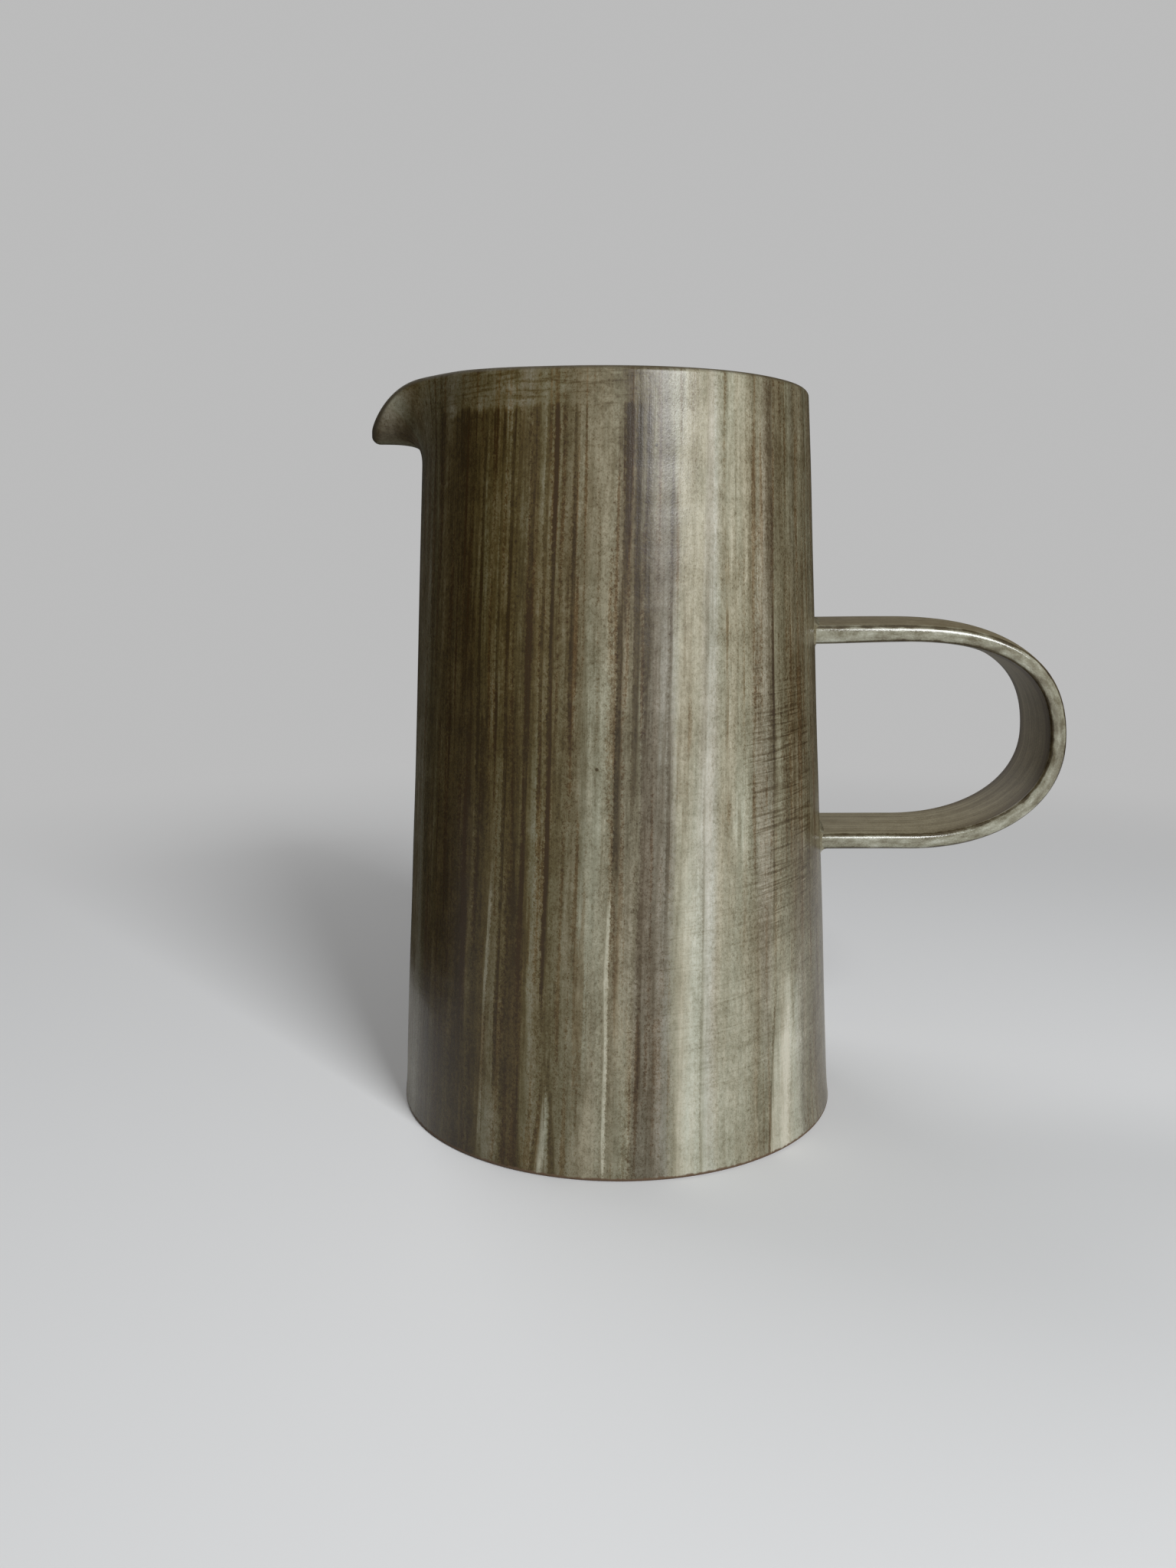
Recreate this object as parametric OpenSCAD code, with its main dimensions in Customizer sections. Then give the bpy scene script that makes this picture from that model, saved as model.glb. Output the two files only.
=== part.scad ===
// Hand-built stoneware jug.
// A tapered wall stands round a let-in base, a beak spout fills a notch in the rim,
// and a strap handle is luted to the wall at two roots, each with a collar of soft clay.
// The axis of the jug is Z, the foot stands on Z = 0, the handle points to +X and the spout to -X.

/* [Body] */
// Height of the rim above the table
body_h = 200.1; // [160:0.1:240]
// Outer diameter of the taper at the foot
foot_d = 126; // [110:1:150]
// Outer diameter of the rim
rim_d = 105; // [90:1:125]
// Thickness of the wall
wall_t = 4.5; // [3.5:0.1:6]
// Rounding of the rim's two edges
rim_round = 1.5; // [0.6:0.1:1.7]
// How far the foot edge swells past the straight taper
foot_swell = 0.3; // [0.1:0.1:1.2]
// Height at which the swell has died away
foot_swell_h = 7; // [4:0.5:14]
// Bevel wiped round the bottom edge
foot_bevel = 0.9; // [0.4:0.1:2]

/* [Base] */
// Thickness of the base disc
base_t = 5; // [3.5:0.1:8]
// Height of the hollow under the base disc
base_recess = 1.5; // [0.5:0.1:4]
// Leg of the coil in the inside corner
coil_leg = 6; // [3:0.5:7]
// Radius of the hollow that a finger leaves along that coil
coil_hollow_r = 8; // [7.5:0.5:14]

/* [Spout] */
// Reach of the spout's tip past the rim
spout_reach = 15; // [8:0.5:22]
// Depth of the lip at the tip below the rim
spout_dip = 7.9; // [4:0.1:9]
// Depth of the spout's underside below the rim
spout_under = 12.4; // [11.5:0.1:16]
// Rise of the lip's two shoulders above the rim
spout_rise = 2.6; // [0.5:0.1:4]
// Half angle of the notch that takes the spout
spout_half = 60; // [45:1:65]
// How quickly the lip narrows towards the tip
spout_narrow = 4.6; // [3:0.1:7]
// How quickly the lip falls at the tip
spout_plunge = 15; // [8:0.5:20]
// Height of the wall that turns out under the beak
spout_turn = 9; // [7:0.5:14]
// Height of the plain wall below that, down to the notch's sill
spout_skirt = 8; // [4:0.5:14]

/* [Handle] */
// Distance from the rim down to the top edge of the strap
handle_drop = 61.7; // [45:0.1:75]
// Outside height of the loop at the strap's edge
handle_h = 63.1; // [50:0.1:75]
// Reach of the loop past the wall
handle_out = 68.2; // [58:0.1:85]
// Height of the loop's nose above the middle of the loop
nose_lift = -1.7; // [-4:0.1:4]
// Fullness of the upper bend: 2 is an ellipse and more is squarer
upper_full = 2.5; // [2:0.05:3]
// Fullness of the lower bend
lower_full = 2.15; // [2:0.05:3]
// Straight run of the upper arm
upper_arm = 24; // [12:0.5:32]
// Straight run of the lower arm
lower_arm = 24; // [10:0.5:32]
// Width of the strap
strap_w = 26.5; // [16:0.5:34]
// Thickness of the strap at its edges
strap_t = 4.6; // [3.6:0.1:6]
// Crown of the strap's outer face
strap_crown = 1.1; // [0.5:0.1:3]
// Crown of the strap's inner face
strap_belly = 0.4; // [0.2:0.1:1]
// Slope across the strap, which sits a little askew: rise for each unit of width
strap_slope = 0.047; // [0:0.005:0.1]
// Rounding of the strap's corners
strap_edge_r = 1.3; // [0.6:0.1:1.7]

/* [Joints] */
// Leg of the collar of soft clay round each root
collar_leg = 1.6; // [1:0.1:3]
// Thickness of a collar at its smoothed-out edge
collar_edge = 0.2; // [0.1:0.05:0.4]
// Layer of slip between pieces that are luted together
slip_t = 0.1; // [0.05:0.05:0.3]

/* [Hidden] */
$fn = 120;
glaze_olive = "#8b8674";
glaze_umber = "#746c5b";
bare_clay = "#a98b6c";
inside_glaze = "#a39d8b";

// Wall, as radii at a height
foot_r = foot_d / 2;
rim_r = rim_d / 2;
lean = atan((foot_r - rim_r) / body_h);
half_t = wall_t / 2 * cos(lean);
rim_flat = half_t - rim_round;
rim_z = body_h - rim_round - rim_flat * sin(lean);
function wall_r(z) = foot_r + (rim_r - foot_r) * z / body_h;
function mid_r(z) = wall_r(z) - wall_t / 2;
function inner_r(z) = wall_r(z) - wall_t;
rim_mid = [mid_r(rim_z), rim_z];
wall_normal = [cos(lean), sin(lean)];
wall_up = [-sin(lean), cos(lean)];

// Base
floor_z = base_recess + base_t;

// Spout: rings on either side of -X, and points along and over each ring
spout_steps = 14;
curve_steps = 9;
lip_steps = 3;
ring_crowding = 1.25;
tip_z = body_h - spout_dip - half_t;
fold_z = body_h - spout_under + half_t;
turn_z = fold_z - spout_turn;
sill_z = turn_z - spout_skirt;
seam_angle = asin(slip_t / rim_r);
// How sharply the wall folds out at the tip and at the notch's edges
fold_tight = 0.85;
fold_loose = 0.6;
// How late the shoulders fall to the rim at the notch's edges
shoulder_hold = 4;

// Handle
bend_steps = 11;
face_steps = 8;
corner_steps = 3;
upper_z = body_h - handle_drop - strap_t / 2;
lower_z = body_h - handle_drop - handle_h + strap_t / 2;
nose_z = (upper_z + lower_z) / 2 + nose_lift;
nose_x = wall_r(nose_z) + handle_out - strap_t / 2;
upper_x = wall_r(upper_z) + upper_arm;
lower_x = wall_r(lower_z) + lower_arm;
corner_u = strap_w / 2 - strap_edge_r;
corner_v = strap_t / 2 - strap_edge_r;

// Collar
collar_steps = 4;

// Faces of a skin over rings of points, m points in a ring and n rings
function skin_faces(n, m, closed) = [
    for (j = [0 : n - (closed ? 1 : 2)])
        for (i = [0 : m - 1])
            let (a = j * m + i, b = j * m + (i + 1) % m)
            let (c = ((j + 1) % n) * m + (i + 1) % m, d = ((j + 1) % n) * m + i)
            each [[a, b, c], [a, c, d]]
];

// Faces of one end: a strip between the first half of the ring and the second half, folded back on it
function end_faces(first, m, flip) = [
    for (i = [0 : m / 2 - 2])
        let (a = first + i, b = first + i + 1, c = first + m - 2 - i, d = first + m - 1 - i)
        each flip ? [[a, b, c], [a, c, d]] : [[a, c, b], [a, d, c]]
];

// Solid over open rings, with both ends closed
module loft(rings) {
    n = len(rings);
    m = len(rings[0]);
    points = [for (ring = rings) each ring];
    faces = concat(skin_faces(n, m, false), end_faces(0, m, false), end_faces((n - 1) * m, m, true));
    polyhedron(points, faces, convexity = 8);
}

// Solid over rings that come back to the first one
module ring_loft(rings) {
    points = [for (ring = rings) each ring];
    polyhedron(points, skin_faces(len(rings), len(rings[0]), true), convexity = 8);
}

// Spout profile, as radius and height at an angle from -X

// A swelling that is 1 at the tip and dies away at the notch's edge
function beak(angle, power) = pow((1 + cos(180 * angle / spout_half)) / 2, power);

// Middle of the lip
function lip_mid(angle) = [
    rim_mid[0] + spout_reach * beak(angle, spout_narrow),
    rim_z + spout_rise * (1 - pow(angle / spout_half, shoulder_hold))
        - (rim_z + spout_rise - tip_z) * beak(angle, spout_plunge)
];

// Rounding of the lip, which is a full round at the tip
function lip_round(angle) = rim_round + rim_flat * beak(angle, spout_narrow);

// Control points of the wall's middle line, from plain wall to lip
function spout_curve(angle) =
    let (start = [mid_r(turn_z), turn_z])
    let (fold = [mid_r(fold_z), fold_z])
    let (lip = lip_mid(angle))
    let (tight = fold_loose + (fold_tight - fold_loose) * beak(angle, spout_plunge))
    [start, start + tight * (fold - start), lip + tight * (fold - lip), lip];

function curve_point(p, t) =
    pow(1 - t, 3) * p[0] + 3 * pow(1 - t, 2) * t * p[1] + 3 * (1 - t) * t * t * p[2] + pow(t, 3) * p[3];
function curve_run(p, t) =
    pow(1 - t, 2) * (p[1] - p[0]) + 2 * (1 - t) * t * (p[2] - p[1]) + t * t * (p[3] - p[2]);
function curve_normal(p, t) =
    let (run = curve_run(p, t))
    [run[1], -run[0]] / norm(run);

// Closed section of the spout: up the outside, over the lip and down the inside
function spout_section(angle) =
    let (p = spout_curve(angle))
    let (out = curve_normal(p, 1))
    let (up = [-out[1], out[0]])
    let (r = lip_round(angle), flat = half_t - r)
    let (sill = sill_z + slip_t)
    concat(
        [[wall_r(sill), sill]],
        [for (k = [0 : curve_steps]) curve_point(p, k / curve_steps) + half_t * curve_normal(p, k / curve_steps)],
        [for (k = [1 : lip_steps])
            p[3] + flat * out + r * (cos(90 * k / lip_steps) * out + sin(90 * k / lip_steps) * up)],
        [for (k = [lip_steps : -1 : 1])
            p[3] - flat * out + r * (sin(90 * k / lip_steps) * up - cos(90 * k / lip_steps) * out)],
        [for (k = [curve_steps : -1 : 0])
            curve_point(p, k / curve_steps) - half_t * curve_normal(p, k / curve_steps)],
        [[inner_r(sill), sill]]
    );

function spout_ring(angle) = [for (q = spout_section(angle)) [-q[0] * cos(angle), q[0] * sin(angle), q[1]]];

// Angles of the rings, closer together at the beak
function spout_angle(j) =
    let (s = j / spout_steps)
    (spout_half - seam_angle) * sign(s) * pow(abs(s), ring_crowding);

// Strap section, u across the strap and v away from the middle of the loop

// Radius of a crowned face that runs smoothly into the corner roundings
function crown_r(crown) = strap_edge_r + (corner_u * corner_u + crown * crown) / (2 * crown);
function crown_angle(crown) = asin(corner_u / (crown_r(crown) - strap_edge_r));

// One face of the strap with its two corners, from -u to +u
function strap_face(crown) =
    let (r = crown_r(crown), a = crown_angle(crown))
    concat(
        [for (k = [0 : corner_steps - 1])
            let (t = 90 - (90 - a) * k / corner_steps)
            [-corner_u - strap_edge_r * sin(t), corner_v + strap_edge_r * cos(t)]],
        [for (k = [-face_steps / 2 : face_steps / 2])
            let (t = a * k / (face_steps / 2))
            [r * sin(t), strap_t / 2 + crown - r + r * cos(t)]],
        [for (k = [corner_steps - 1 : -1 : 0])
            let (t = 90 - (90 - a) * k / corner_steps)
            [corner_u + strap_edge_r * sin(t), corner_v + strap_edge_r * cos(t)]]
    );
function strap_section() =
    let (back = strap_face(strap_belly))
    concat(strap_face(strap_crown), [for (k = [len(back) - 1 : -1 : 0]) [back[k][0], -back[k][1]]]);
strap_loop = strap_section();

// Outward normals of that section
function strap_normals() =
    let (n = len(strap_loop))
    [for (i = [0 : n - 1])
        let (run = strap_loop[(i + 1) % n] - strap_loop[(i + n - 1) % n])
        [-run[1], run[0]] / norm(run)];
strap_out = strap_normals();

// Where a line along X meets the wall, with the slip
function seat_x(y, z) = sqrt(pow(wall_r(z) + slip_t, 2) - y * y);

// Height of a point of the strap, with the slope across it
function sloped(y, z) = z + strap_slope * y;

// Point of the strap's section on an arm, out from the wall: up is 1 on the upper arm and -1 on the lower one
function arm_point(q, out, arm_z, up) =
    let (z = sloped(q[0], arm_z + up * q[1]))
    [seat_x(q[0], z) + out, q[0], z];

// Ring of the strap where it sits on the wall
function root_ring(arm_z, up) = [for (q = strap_loop) arm_point(q, 0, arm_z, up)];

// Ring of the strap on a quarter bend, from its straight end at x0 and angle 90 to the nose at angle 0;
// up is 1 on the upper bend and -1 on the lower one
function bend_ring(x0, arm_z, full, up, angle) =
    let (a = nose_x - x0, b = abs(arm_z - nose_z))
    let (c = cos(angle), s = sin(angle))
    let (out = [pow(c, 2 - 2 / full) / a, up * pow(s, 2 - 2 / full) / b])
    let (n = out / norm(out))
    let (x = x0 + a * pow(c, 2 / full), z = nose_z + up * b * pow(s, 2 / full))
    [for (q = strap_loop) [x + q[1] * n[0], q[0], sloped(q[0], z + q[1] * n[1])]];

// Rings of a collar: each is a fillet between the strap and the wall at one point of the strap's section
function collar_fillet() =
    let (r = collar_leg - collar_edge)
    concat(
        [[0, 0], [0, collar_leg]],
        [for (k = [0 : collar_steps])
            let (t = 90 * k / collar_steps)
            [collar_leg - r * cos(t), collar_leg - r * sin(t)]],
        [[collar_leg, 0]]
    );
function collar_ring(i, arm_z, up) = [
    for (q = collar_fillet()) arm_point(strap_loop[i] + (slip_t + q[0]) * strap_out[i], q[1], arm_z, up)
];

// Tapered wall with its rounded rim and its bevelled foot, notched for the spout
module body_wall() {
    color(glaze_olive)
    difference() {
        rotate_extrude() {
            polygon([
                [inner_r(0), 0],
                [wall_r(0) + foot_swell - foot_bevel, 0],
                [wall_r(foot_bevel) + foot_swell, foot_bevel],
                [wall_r(foot_swell_h), foot_swell_h],
                rim_mid + half_t * wall_normal,
                rim_mid + rim_flat * wall_normal + rim_round * wall_up,
                rim_mid - rim_flat * wall_normal + rim_round * wall_up,
                rim_mid - half_t * wall_normal,
            ]);
            translate(rim_mid + rim_flat * wall_normal) circle(r = rim_round);
            translate(rim_mid - rim_flat * wall_normal) circle(r = rim_round);
        }
        spout_notch();
    }
}

// Wedge cut out of the rim for the spout
module spout_notch() {
    reach = 2 * rim_r;
    translate([0, 0, sill_z])
    linear_extrude(body_h)
    polygon([
        [0, 0],
        reach * [-cos(spout_half), -sin(spout_half)],
        [-reach, 0],
        reach * [-cos(spout_half), sin(spout_half)],
    ]);
}

// Disc let in at the bottom of the wall
module base_disc() {
    color(bare_clay)
    rotate_extrude()
    polygon([
        [0, base_recess],
        [inner_r(base_recess) - slip_t, base_recess],
        [inner_r(floor_z) - slip_t, floor_z],
        [0, floor_z],
    ]);
}

// Coil in the inside corner, hollowed by a finger
module floor_coil() {
    low = floor_z + slip_t;
    top = low + coil_leg;
    color(inside_glaze)
    rotate_extrude()
    difference() {
        polygon([
            [inner_r(low) - slip_t - coil_leg, low],
            [inner_r(low) - slip_t, low],
            [inner_r(top) - slip_t, top],
            [inner_r(top) - slip_t - coil_leg, top],
        ]);
        translate([inner_r(low + coil_hollow_r) - slip_t - coil_hollow_r / cos(lean), low + coil_hollow_r])
        circle(r = coil_hollow_r);
    }
}

// Beak spout that fills the notch
module pouring_spout() {
    color(glaze_umber)
    loft([for (j = [-spout_steps : spout_steps]) spout_ring(spout_angle(j))]);
}

// Strap handle: straight arms, and two quarter bends that meet at the nose
module handle_strap() {
    upper = [for (k = [bend_steps : -1 : 0]) bend_ring(upper_x, upper_z, upper_full, 1, 90 * k / bend_steps)];
    lower = [for (k = [1 : bend_steps]) bend_ring(lower_x, lower_z, lower_full, -1, 90 * k / bend_steps)];
    color(glaze_olive)
    loft(concat([root_ring(upper_z, 1)], upper, lower, [root_ring(lower_z, -1)]));
}

// Collars of soft clay round the two roots
module upper_handle_collar() {
    color(glaze_umber)
    ring_loft([for (i = [0 : len(strap_loop) - 1]) collar_ring(i, upper_z, 1)]);
}
module lower_handle_collar() {
    color(glaze_umber)
    ring_loft([for (i = [len(strap_loop) - 1 : -1 : 0]) collar_ring(i, lower_z, -1)]);
}

body_wall();
base_disc();
floor_coil();
pouring_spout();
handle_strap();
upper_handle_collar();
lower_handle_collar();
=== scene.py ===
import math
from types import SimpleNamespace
import bmesh
import bpy
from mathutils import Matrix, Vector, noise


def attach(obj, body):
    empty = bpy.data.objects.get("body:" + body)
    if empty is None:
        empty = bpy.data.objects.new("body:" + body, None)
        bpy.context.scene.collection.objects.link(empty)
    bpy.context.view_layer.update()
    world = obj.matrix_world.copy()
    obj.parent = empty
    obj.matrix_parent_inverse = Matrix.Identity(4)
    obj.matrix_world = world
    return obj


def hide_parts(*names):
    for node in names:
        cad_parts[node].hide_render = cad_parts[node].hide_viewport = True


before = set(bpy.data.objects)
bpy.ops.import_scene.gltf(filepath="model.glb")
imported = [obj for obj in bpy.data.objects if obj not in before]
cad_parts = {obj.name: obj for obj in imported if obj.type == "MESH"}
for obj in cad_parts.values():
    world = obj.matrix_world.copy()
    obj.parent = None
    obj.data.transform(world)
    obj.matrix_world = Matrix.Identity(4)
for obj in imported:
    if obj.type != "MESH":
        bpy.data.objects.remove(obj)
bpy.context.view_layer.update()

# Wall
# A tapered wall of stoneware clay, raised round the base, with a rim that was rounded by a wet finger.
# The beak of the spout is pulled out of the same rim, so both start here as one wall.
mm = 0.001
close = 0.01 * mm
body_h = 200.1 * mm
foot_r = 63 * mm
rim_r = 52.5 * mm
wall_t = 4.5 * mm
rim_round = 1.5 * mm
rim_round_steps = 7
foot_bevel = 0.9 * mm
foot_bevel_steps = 4
foot_swell = 0.3 * mm
foot_swell_h = 7 * mm
spout_reach = 15 * mm
spout_dip = 7.9 * mm
spout_under = 12.4 * mm
spout_turn = 9 * mm
spout_skirt = 8 * mm
spout_rise = 2.7 * mm

# Half widths in degrees either side of the spout's tip, the powers that narrow the beak and let its lip
# plunge, and how tightly the wall folds out at the tip and at the sides
rise_half = 55
spout_half = 60
spout_narrow = 4.6
spout_plunge = 12.5
fold_tight = 0.85
fold_loose = 0.6

lean = math.atan((foot_r - rim_r) / body_h)
wall_out = Vector((math.cos(lean), math.sin(lean)))
wall_up = Vector((-math.sin(lean), math.cos(lean)))
half_t = wall_t / 2 * math.cos(lean)
rim_flat = half_t - rim_round


def wall_r(z):
    """Outer radius of the straight taper at a height."""
    return foot_r + (rim_r - foot_r) * z / body_h


rim_z = body_h - rim_round - rim_flat * math.sin(lean)
rim_mid = Vector((wall_r(rim_z) - wall_t / 2, rim_z))
fold_z = body_h - spout_under + half_t
turn_z = fold_z - spout_turn
sill_z = turn_z - spout_skirt
tip_z = body_h - spout_dip - half_t


def select(piece, kind, wanted):
    """Selects, in edit mode, the vertices, edges or faces of a piece that a test wants."""
    bpy.ops.mesh.select_mode(type=kind)
    bpy.ops.mesh.select_all(action="DESELECT")
    shape = bmesh.from_edit_mesh(piece.data)
    for part in {"VERT": shape.verts, "EDGE": shape.edges, "FACE": shape.faces}[kind]:
        if wanted(part):
            part.select_set(True)
    bmesh.update_edit_mesh(piece.data)


def section_plane(name, corners):
    """A flat section of clay in the X-Z plane, left in edit mode, from four (radius, height) corners."""
    bpy.ops.object.select_all(action="DESELECT")
    bpy.ops.mesh.primitive_plane_add(size=wall_t)
    piece = bpy.context.object
    piece.name = name
    for corner, place in zip((0, 1, 3, 2), corners):
        piece.data.vertices[corner].co = (place[0], 0, place[1])
    bpy.ops.object.mode_set(mode="EDIT")
    return piece


def lies_at(place):
    """A test for vertices that lie at a (radius, height)."""
    return lambda vert: (Vector((vert.co.x, vert.co.z)) - Vector(place)).length < close


def lies_level(z):
    """A test for edges that lie level at a height."""
    return lambda edge: all(abs(vert.co.z - z) < close for vert in edge.verts)


def round_off(radius, steps, affect="VERTICES"):
    """Rounds the selected corners or edges."""
    bpy.ops.mesh.bevel(offset=radius, segments=steps, profile=0.5, affect=affect)


def keep_outline(piece):
    """Takes the faces out of a section, so that only its outline is left."""
    select(piece, "FACE", lambda face: True)
    bpy.ops.mesh.delete(type="ONLY_FACE")


def face_outwards():
    """Turns the faces of the piece in hand outwards."""
    bpy.ops.object.mode_set(mode="EDIT")
    bpy.ops.mesh.select_all(action="SELECT")
    bpy.ops.mesh.normals_make_consistent(inside=False)
    bpy.ops.object.mode_set(mode="OBJECT")


def throw_round(steps):
    """Spins the outline of a section once round the jug's axis and closes the seam."""
    bpy.ops.mesh.select_all(action="SELECT")
    bpy.ops.mesh.spin(steps=steps, angle=math.tau, center=(0, 0, 0), axis=(0, 0, 1))
    bpy.ops.mesh.select_all(action="SELECT")
    bpy.ops.mesh.remove_doubles(threshold=0.1 * close)
    face_outwards()


# The section of the wall above the turn of the spout, then drawn down to the foot
rim_top = rim_mid + rim_round * wall_up
neck = Vector((wall_r(turn_z), turn_z))
foot = Vector((wall_r(0), 0))
wall = section_plane("glazed_wall", (
    neck - Vector((wall_t, 0)), neck, rim_top + half_t * wall_out, rim_top - half_t * wall_out,
))
select(wall, "EDGE", lies_level(turn_z))
down = foot - neck
bpy.ops.mesh.extrude_region_move(TRANSFORM_OT_translate={"value": (down.x, 0, down.y)})
on_rim = [lies_at(rim_top + side * half_t * wall_out) for side in (1, -1)]
select(wall, "VERT", lambda vert: any(test(vert) for test in on_rim))
round_off(rim_round, rim_round_steps)
select(wall, "VERT", lies_at(foot))
round_off(foot_bevel, foot_bevel_steps)
keep_outline(wall)
select(wall, "EDGE", lies_level(turn_z))
bpy.ops.mesh.delete(type="EDGE")


def spans(low, high, slack=3 * mm):
    """A test for edges that run up the wall from about one height to about another."""
    return lambda edge: (min(vert.co.z for vert in edge.verts) < low + slack
                         and max(vert.co.z for vert in edge.verts) > high - slack)


wall_steps = 300
rings_above_turn = 25
rings_below_turn = 63
select(wall, "EDGE", spans(turn_z, rim_z))
bpy.ops.mesh.subdivide(number_cuts=rings_above_turn)
select(wall, "EDGE", spans(0, turn_z))
bpy.ops.mesh.subdivide(number_cuts=rings_below_turn)
throw_round(wall_steps)


def beak(angle, power):
    """A swelling that is 1 at the tip of the spout and dies away at its edges, in degrees from -X."""
    share = min(abs(angle) / spout_half, 1)
    return ((1 + math.cos(math.pi * share)) / 2) ** power


def lip_middle(angle):
    """Middle of the lip: it rises gently towards the spout, swells out and plunges at the tip."""
    rise = spout_rise / (1 + (angle / rise_half) ** 4)
    return Vector((
        rim_mid.x + spout_reach * beak(angle, spout_narrow),
        rim_z + rise - (rim_z + rise - tip_z) * beak(angle, spout_plunge),
    ))


def lip_curve(angle):
    """Control points of the wall's middle line, from plain wall to lip."""
    start = Vector((wall_r(turn_z) - wall_t / 2, turn_z))
    fold = Vector((wall_r(fold_z) - wall_t / 2, fold_z))
    lip = lip_middle(angle)
    tight = fold_loose + (fold_tight - fold_loose) * beak(angle, spout_plunge)
    return start, start + tight * (fold - start), lip + tight * (fold - lip), lip


def curve_at(points, t):
    """Point and outward normal of that middle line."""
    p0, p1, p2, p3 = points
    place = (1 - t) ** 3 * p0 + 3 * (1 - t) ** 2 * t * p1 + 3 * (1 - t) * t * t * p2 + t ** 3 * p3
    run = (1 - t) ** 2 * (p1 - p0) + 2 * (1 - t) * t * (p2 - p1) + t * t * (p3 - p2)
    return place, Vector((run.y, -run.x)).normalized()


slow_wander = 0.30 * mm
quick_wander = 0.16 * mm
steady_h = 10 * mm


def unevenness(turn, z):
    """How far the hand-made wall wanders from a true cone; at the foot it is true."""
    around = Vector((math.cos(turn), math.sin(turn), 0))
    slow = noise.noise(around * 1.7 + Vector((0, 0, z / (70 * mm))))
    quick = noise.noise(around * 3.6 + Vector((5, 2, z / (32 * mm))))
    return (slow_wander * slow + quick_wander * quick) * min(z / steady_h, 1)


def pull_spout(angle, r, z):
    """Where a point of the plain wall goes when the beak is pulled, angle in degrees from -X."""
    start = Vector((wall_r(turn_z) - wall_t / 2, turn_z))
    along = (Vector((r, z)) - start).dot(wall_up)
    out = (Vector((r, z)) - start).dot(wall_out)
    if along <= 0:
        return r, z
    length = (rim_mid - start).length
    over = max(along - length, 0)
    round_over = math.sqrt(max(half_t * half_t - out * out, 0))
    if over > 0:
        over += (round_over - over) * beak(angle, spout_narrow)
    place, normal = curve_at(lip_curve(angle), min(along / length, 1))
    place = place + out * normal + over * Vector((-normal.y, normal.x))
    return place.x, place.y


# The steps round the wall crowd together towards the tip of the spout, where the lip bends most
crowding = 1.25
for vert in wall.data.vertices:
    r = math.hypot(vert.co.x, vert.co.y)
    z = vert.co.z
    angle = math.degrees(math.atan2(vert.co.y, -vert.co.x))
    if abs(angle) < spout_half:
        angle = math.copysign(spout_half * (abs(angle) / spout_half) ** crowding, angle)
    if r > wall_r(z) - wall_t / 2 and z < foot_swell_h:
        r += foot_swell * (1 - z / foot_swell_h) ** 2
    r, z = pull_spout(angle, r, z)
    turn = math.radians(180 - angle)
    r += unevenness(turn, z)
    vert.co = (r * math.cos(turn), r * math.sin(turn), z)


# The glaze: dragged down the wall with a wide dry brush, so it lies in streaks of olive, brown and cream
def new_finish(name):
    """A new glaze, clay or paper, and the shader tree that it is mixed in."""
    finish = bpy.data.materials.new(name)
    finish.use_nodes = True
    return finish, finish.node_tree


def feed(tree, kind, *feeds, **settings):
    """Adds a shader node, sets its properties and feeds its inputs in order; None leaves an input alone."""
    step = tree.nodes.new(kind)
    for setting, value in settings.items():
        setattr(step, setting, value)
    for socket, value in zip(step.inputs, feeds):
        if isinstance(value, bpy.types.NodeSocket):
            tree.links.new(value, socket)
        elif value is not None:
            socket.default_value = value
    return step.outputs[0]


def calc(tree, operation, *feeds):
    """A sum on numbers."""
    return feed(tree, "ShaderNodeMath", *feeds, operation=operation)


def times(tree, first, *others):
    """Numbers multiplied together."""
    product = first
    for other in others:
        product = calc(tree, "MULTIPLY", product, other)
    return product


def add_up(tree, start, *shares):
    """A number plus shares of others, each given as (number, share)."""
    total = start
    for value, share in shares:
        total = calc(tree, "MULTIPLY_ADD", value, share, total)
    return total


def ease(tree, value, low, high):
    """A mask that goes smoothly from 0 at one value to 1 at another."""
    return feed(tree, "ShaderNodeMapRange", value, low, high, 0.0, 1.0, interpolation_type="SMOOTHSTEP")


def near(tree, value, middle, none, full):
    """A mask that is 1 where a value is within one distance of a middle, and 0 past another."""
    return ease(tree, calc(tree, "ABSOLUTE", calc(tree, "SUBTRACT", value, middle)), none, full)


def mixed(tree, share, first, second):
    """A number between two others."""
    return feed(tree, "ShaderNodeMix", share, None, first, second)


def tinted(tree, share, first, second, way="MIX"):
    """A colour between two others, or multiplied by the second as far as the share says."""
    step = tree.nodes.new("ShaderNodeMix")
    step.data_type = "RGBA"
    step.blend_type = way
    for socket, value in ((0, share), (6, first), (7, second)):
        if isinstance(value, bpy.types.NodeSocket):
            tree.links.new(value, step.inputs[socket])
        else:
            step.inputs[socket].default_value = value
    return step.outputs[2]


def on_piece(tree):
    """Where a point lies on its piece, in metres."""
    return tree.nodes.new("ShaderNodeTexCoord").outputs["Object"]


def split(tree, vector):
    """The three parts of a vector."""
    step = tree.nodes.new("ShaderNodeSeparateXYZ")
    tree.links.new(vector, step.inputs[0])
    return step.outputs


def measure(tree, operation, *vectors):
    """A number worked out from vectors, such as a length or a distance."""
    return feed(tree, "ShaderNodeVectorMath", *vectors, operation=operation).node.outputs["Value"]


def grain(tree, place, spacing, detail=2.0, offset=0.0, harsh=0.55):
    """Noise from -1 to 1 with its own spacing along each axis, in metres."""
    finer = tuple(1 / step for step in spacing)
    shift = (offset, offset, offset)
    moved = feed(tree, "ShaderNodeVectorMath", place, finer, shift, operation="MULTIPLY_ADD")
    rough = feed(tree, "ShaderNodeTexNoise", moved, None, 1.0, detail, harsh)
    return feed(tree, "ShaderNodeMapRange", rough, 0.27, 0.73, -1.0, 1.0)


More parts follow.
